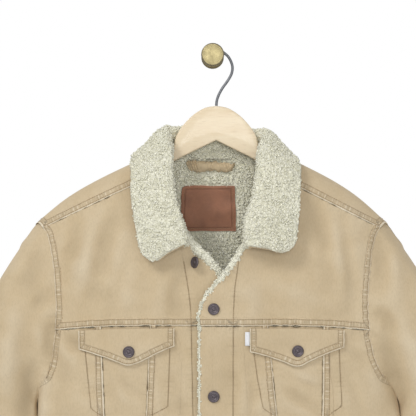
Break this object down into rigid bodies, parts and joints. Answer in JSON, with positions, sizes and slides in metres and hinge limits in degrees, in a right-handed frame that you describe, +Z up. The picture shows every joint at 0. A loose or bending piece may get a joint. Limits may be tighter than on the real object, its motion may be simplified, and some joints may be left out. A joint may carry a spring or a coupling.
{
  "type": "sherpa lined jacket on a wooden hanger and wall knob",
  "caption": "Short buttoned cotton work jacket with a pile lining and collar, flapped chest pockets and a blank patch, hung open-necked on a wooden hanger from a wall knob.",
  "frame": {"origin": "centre of the round flat back face of the wall knob, on the wall", "axes": "+Z up, -Y out of the wall, the way the front of the jacket faces, +X to the viewer's right, the side of the wearer's left arm"},
  "size_m": [0.9318, 0.1275, 0.8885],
  "materials": {
    "cotton": "sand cotton canvas, matt, paler and worn at the seams",
    "pile": "cream curled pile, like sheepskin",
    "leather": "brown leather, matt, stitched round",
    "label": "white woven tab, blank",
    "gunmetal": "dark gunmetal, satin",
    "wood": "pale beech, satin lacquer",
    "steel": "bright plated wire",
    "brass": "old brass, satin"
  },
  "bodies": {
    "root": {"centre_panel_left": "cotton", "pocket_panel_left": "cotton", "side_panel_left": "cotton", "front_yoke_left": "cotton", "top_sleeve_left": "cotton", "under_sleeve_left": "cotton", "cuff_left": "cotton", "pocket_flap_left": "cotton", "lining_front_left": "pile", "pocket_button_left": "gunmetal", "cuff_button_left": "gunmetal", "centre_panel_right": "cotton", "pocket_panel_right": "cotton", "side_panel_right": "cotton", "front_yoke_right": "cotton", "top_sleeve_right": "cotton", "under_sleeve_right": "cotton", "cuff_right": "cotton", "pocket_flap_right": "cotton", "lining_front_right": "pile", "pocket_button_right": "gunmetal", "cuff_button_right": "gunmetal", "front_button_1": "gunmetal", "front_button_2": "gunmetal", "front_button_3": "gunmetal", "front_button_4": "gunmetal", "front_button_5": "gunmetal", "front_button_6": "gunmetal", "back_yoke": "cotton", "back_panel": "cotton", "waistband": "cotton", "collar_backing": "cotton", "hanging_loop": "cotton", "lining_back": "pile", "collar_pile": "pile", "leather_patch": "leather", "blank_tab": "label", "hanger_wood": "wood", "hanger_hook": "steel", "wall_knob": "brass"}
  },
  "joints": []
}
